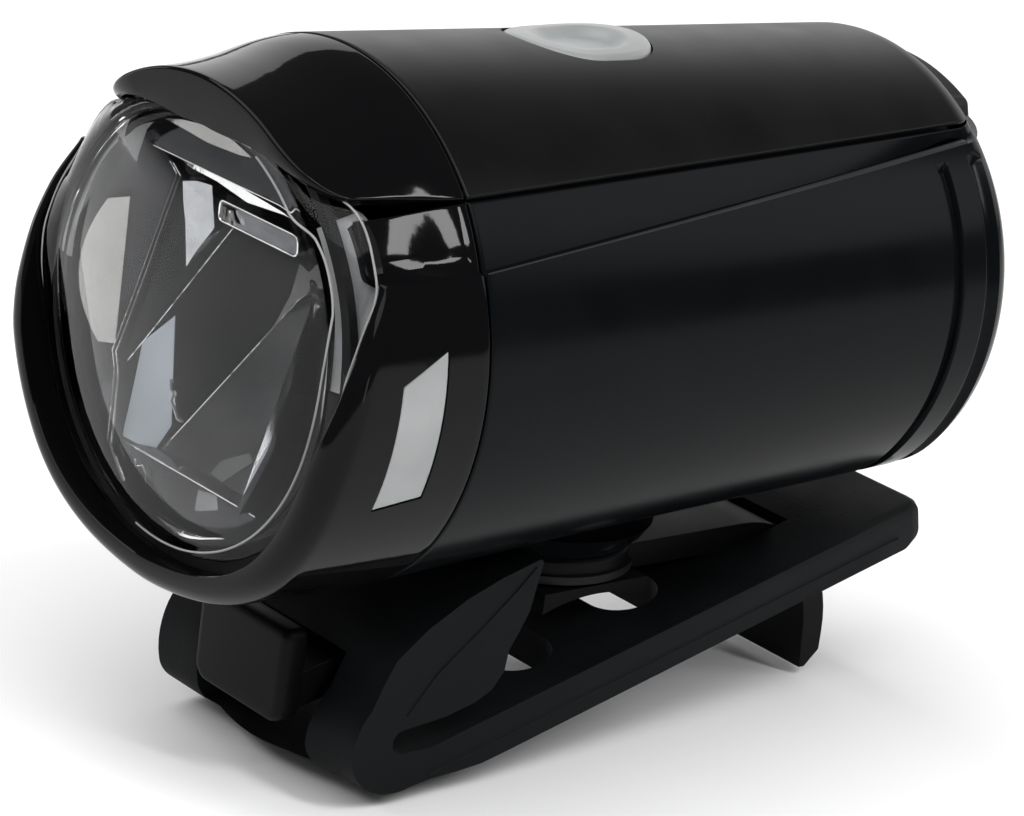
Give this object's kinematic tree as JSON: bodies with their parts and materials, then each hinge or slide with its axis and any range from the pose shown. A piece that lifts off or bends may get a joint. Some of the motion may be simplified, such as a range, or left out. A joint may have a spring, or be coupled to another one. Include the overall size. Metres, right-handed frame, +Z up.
{
  "type": "bicycle headlight",
  "caption": "Rechargeable bike headlight with a gloss black hood, clear lens and grey push button, swivelling on a handlebar bracket with a rubber strap.",
  "frame": {"origin": "crown of the bracket's rubber seat, where the light rests on top of the handlebar, on the swivel axis", "axes": "-Y is the way the light shines, +Z is up, away from the handlebar, and +X is the light's own left side; the handlebar runs along X"},
  "size_m": [0.046, 0.0821, 0.0626],
  "materials": {
    "gloss_black_plastic": "polished",
    "satin_black_plastic": "satin",
    "blue_black_plastic": "satin",
    "bracket_plastic": "satin",
    "clear_lens": "polished",
    "mirror_coat": "polished",
    "grey_silicone": "satin",
    "window_plastic": "satin",
    "heat_sink_aluminium": "satin",
    "white_lamp_board": "satin",
    "phosphor": "satin",
    "green_board": "satin",
    "bright_steel": "satin",
    "switch_plastic": "satin",
    "cell_wrap": "satin",
    "cradle_plastic": "matte",
    "contact_brass": "satin",
    "black_rubber": "matte",
    "strap_rubber": "matte"
  },
  "bodies": {
    "bracket": {"bracket": "bracket_plastic", "saddle_pad": "black_rubber", "strap": "strap_rubber"},
    "light": {"front_bezel": "gloss_black_plastic", "hood": "gloss_black_plastic", "lens": "clear_lens", "lens_gasket": "black_rubber", "reflector": "mirror_coat", "led_board": "white_lamp_board", "led_emitter": "phosphor", "heat_sink": "heat_sink_aluminium", "heat_sink_screws": "bright_steel", "side_windows": "window_plastic", "body_seal": "black_rubber", "upper_shell": "satin_black_plastic", "lower_shell": "blue_black_plastic", "tact_switch": "switch_plastic", "driver_board": "green_board", "board_screws": "bright_steel", "usb_socket": "bright_steel", "battery_cell": "cell_wrap", "battery_cradle": "cradle_plastic", "battery_contacts": "contact_brass", "swivel_washer": "bright_steel", "swivel_screw": "bright_steel"},
    "button": {"button": "grey_silicone"},
    "usb_flap": {"usb_flap": "black_rubber"}
  },
  "joints": [
    {"name": "light_swivel", "type": "hinge", "parent": "bracket", "child": "light", "pos_m": [0, 0, 0], "axis": [0, 0, 1], "range_deg": [-8, 8]},
    {"name": "button_press", "type": "slide", "parent": "light", "child": "button", "axis": [0, 0, -1], "range_m": [0, 0.0008], "stiffness_N_per_m": 900},
    {"name": "flap_hinge", "type": "hinge", "parent": "light", "child": "usb_flap", "pos_m": [0, 0.0351, 0.03482], "axis": [-1, 0, 0], "range_deg": [0, 110]}
  ]
}
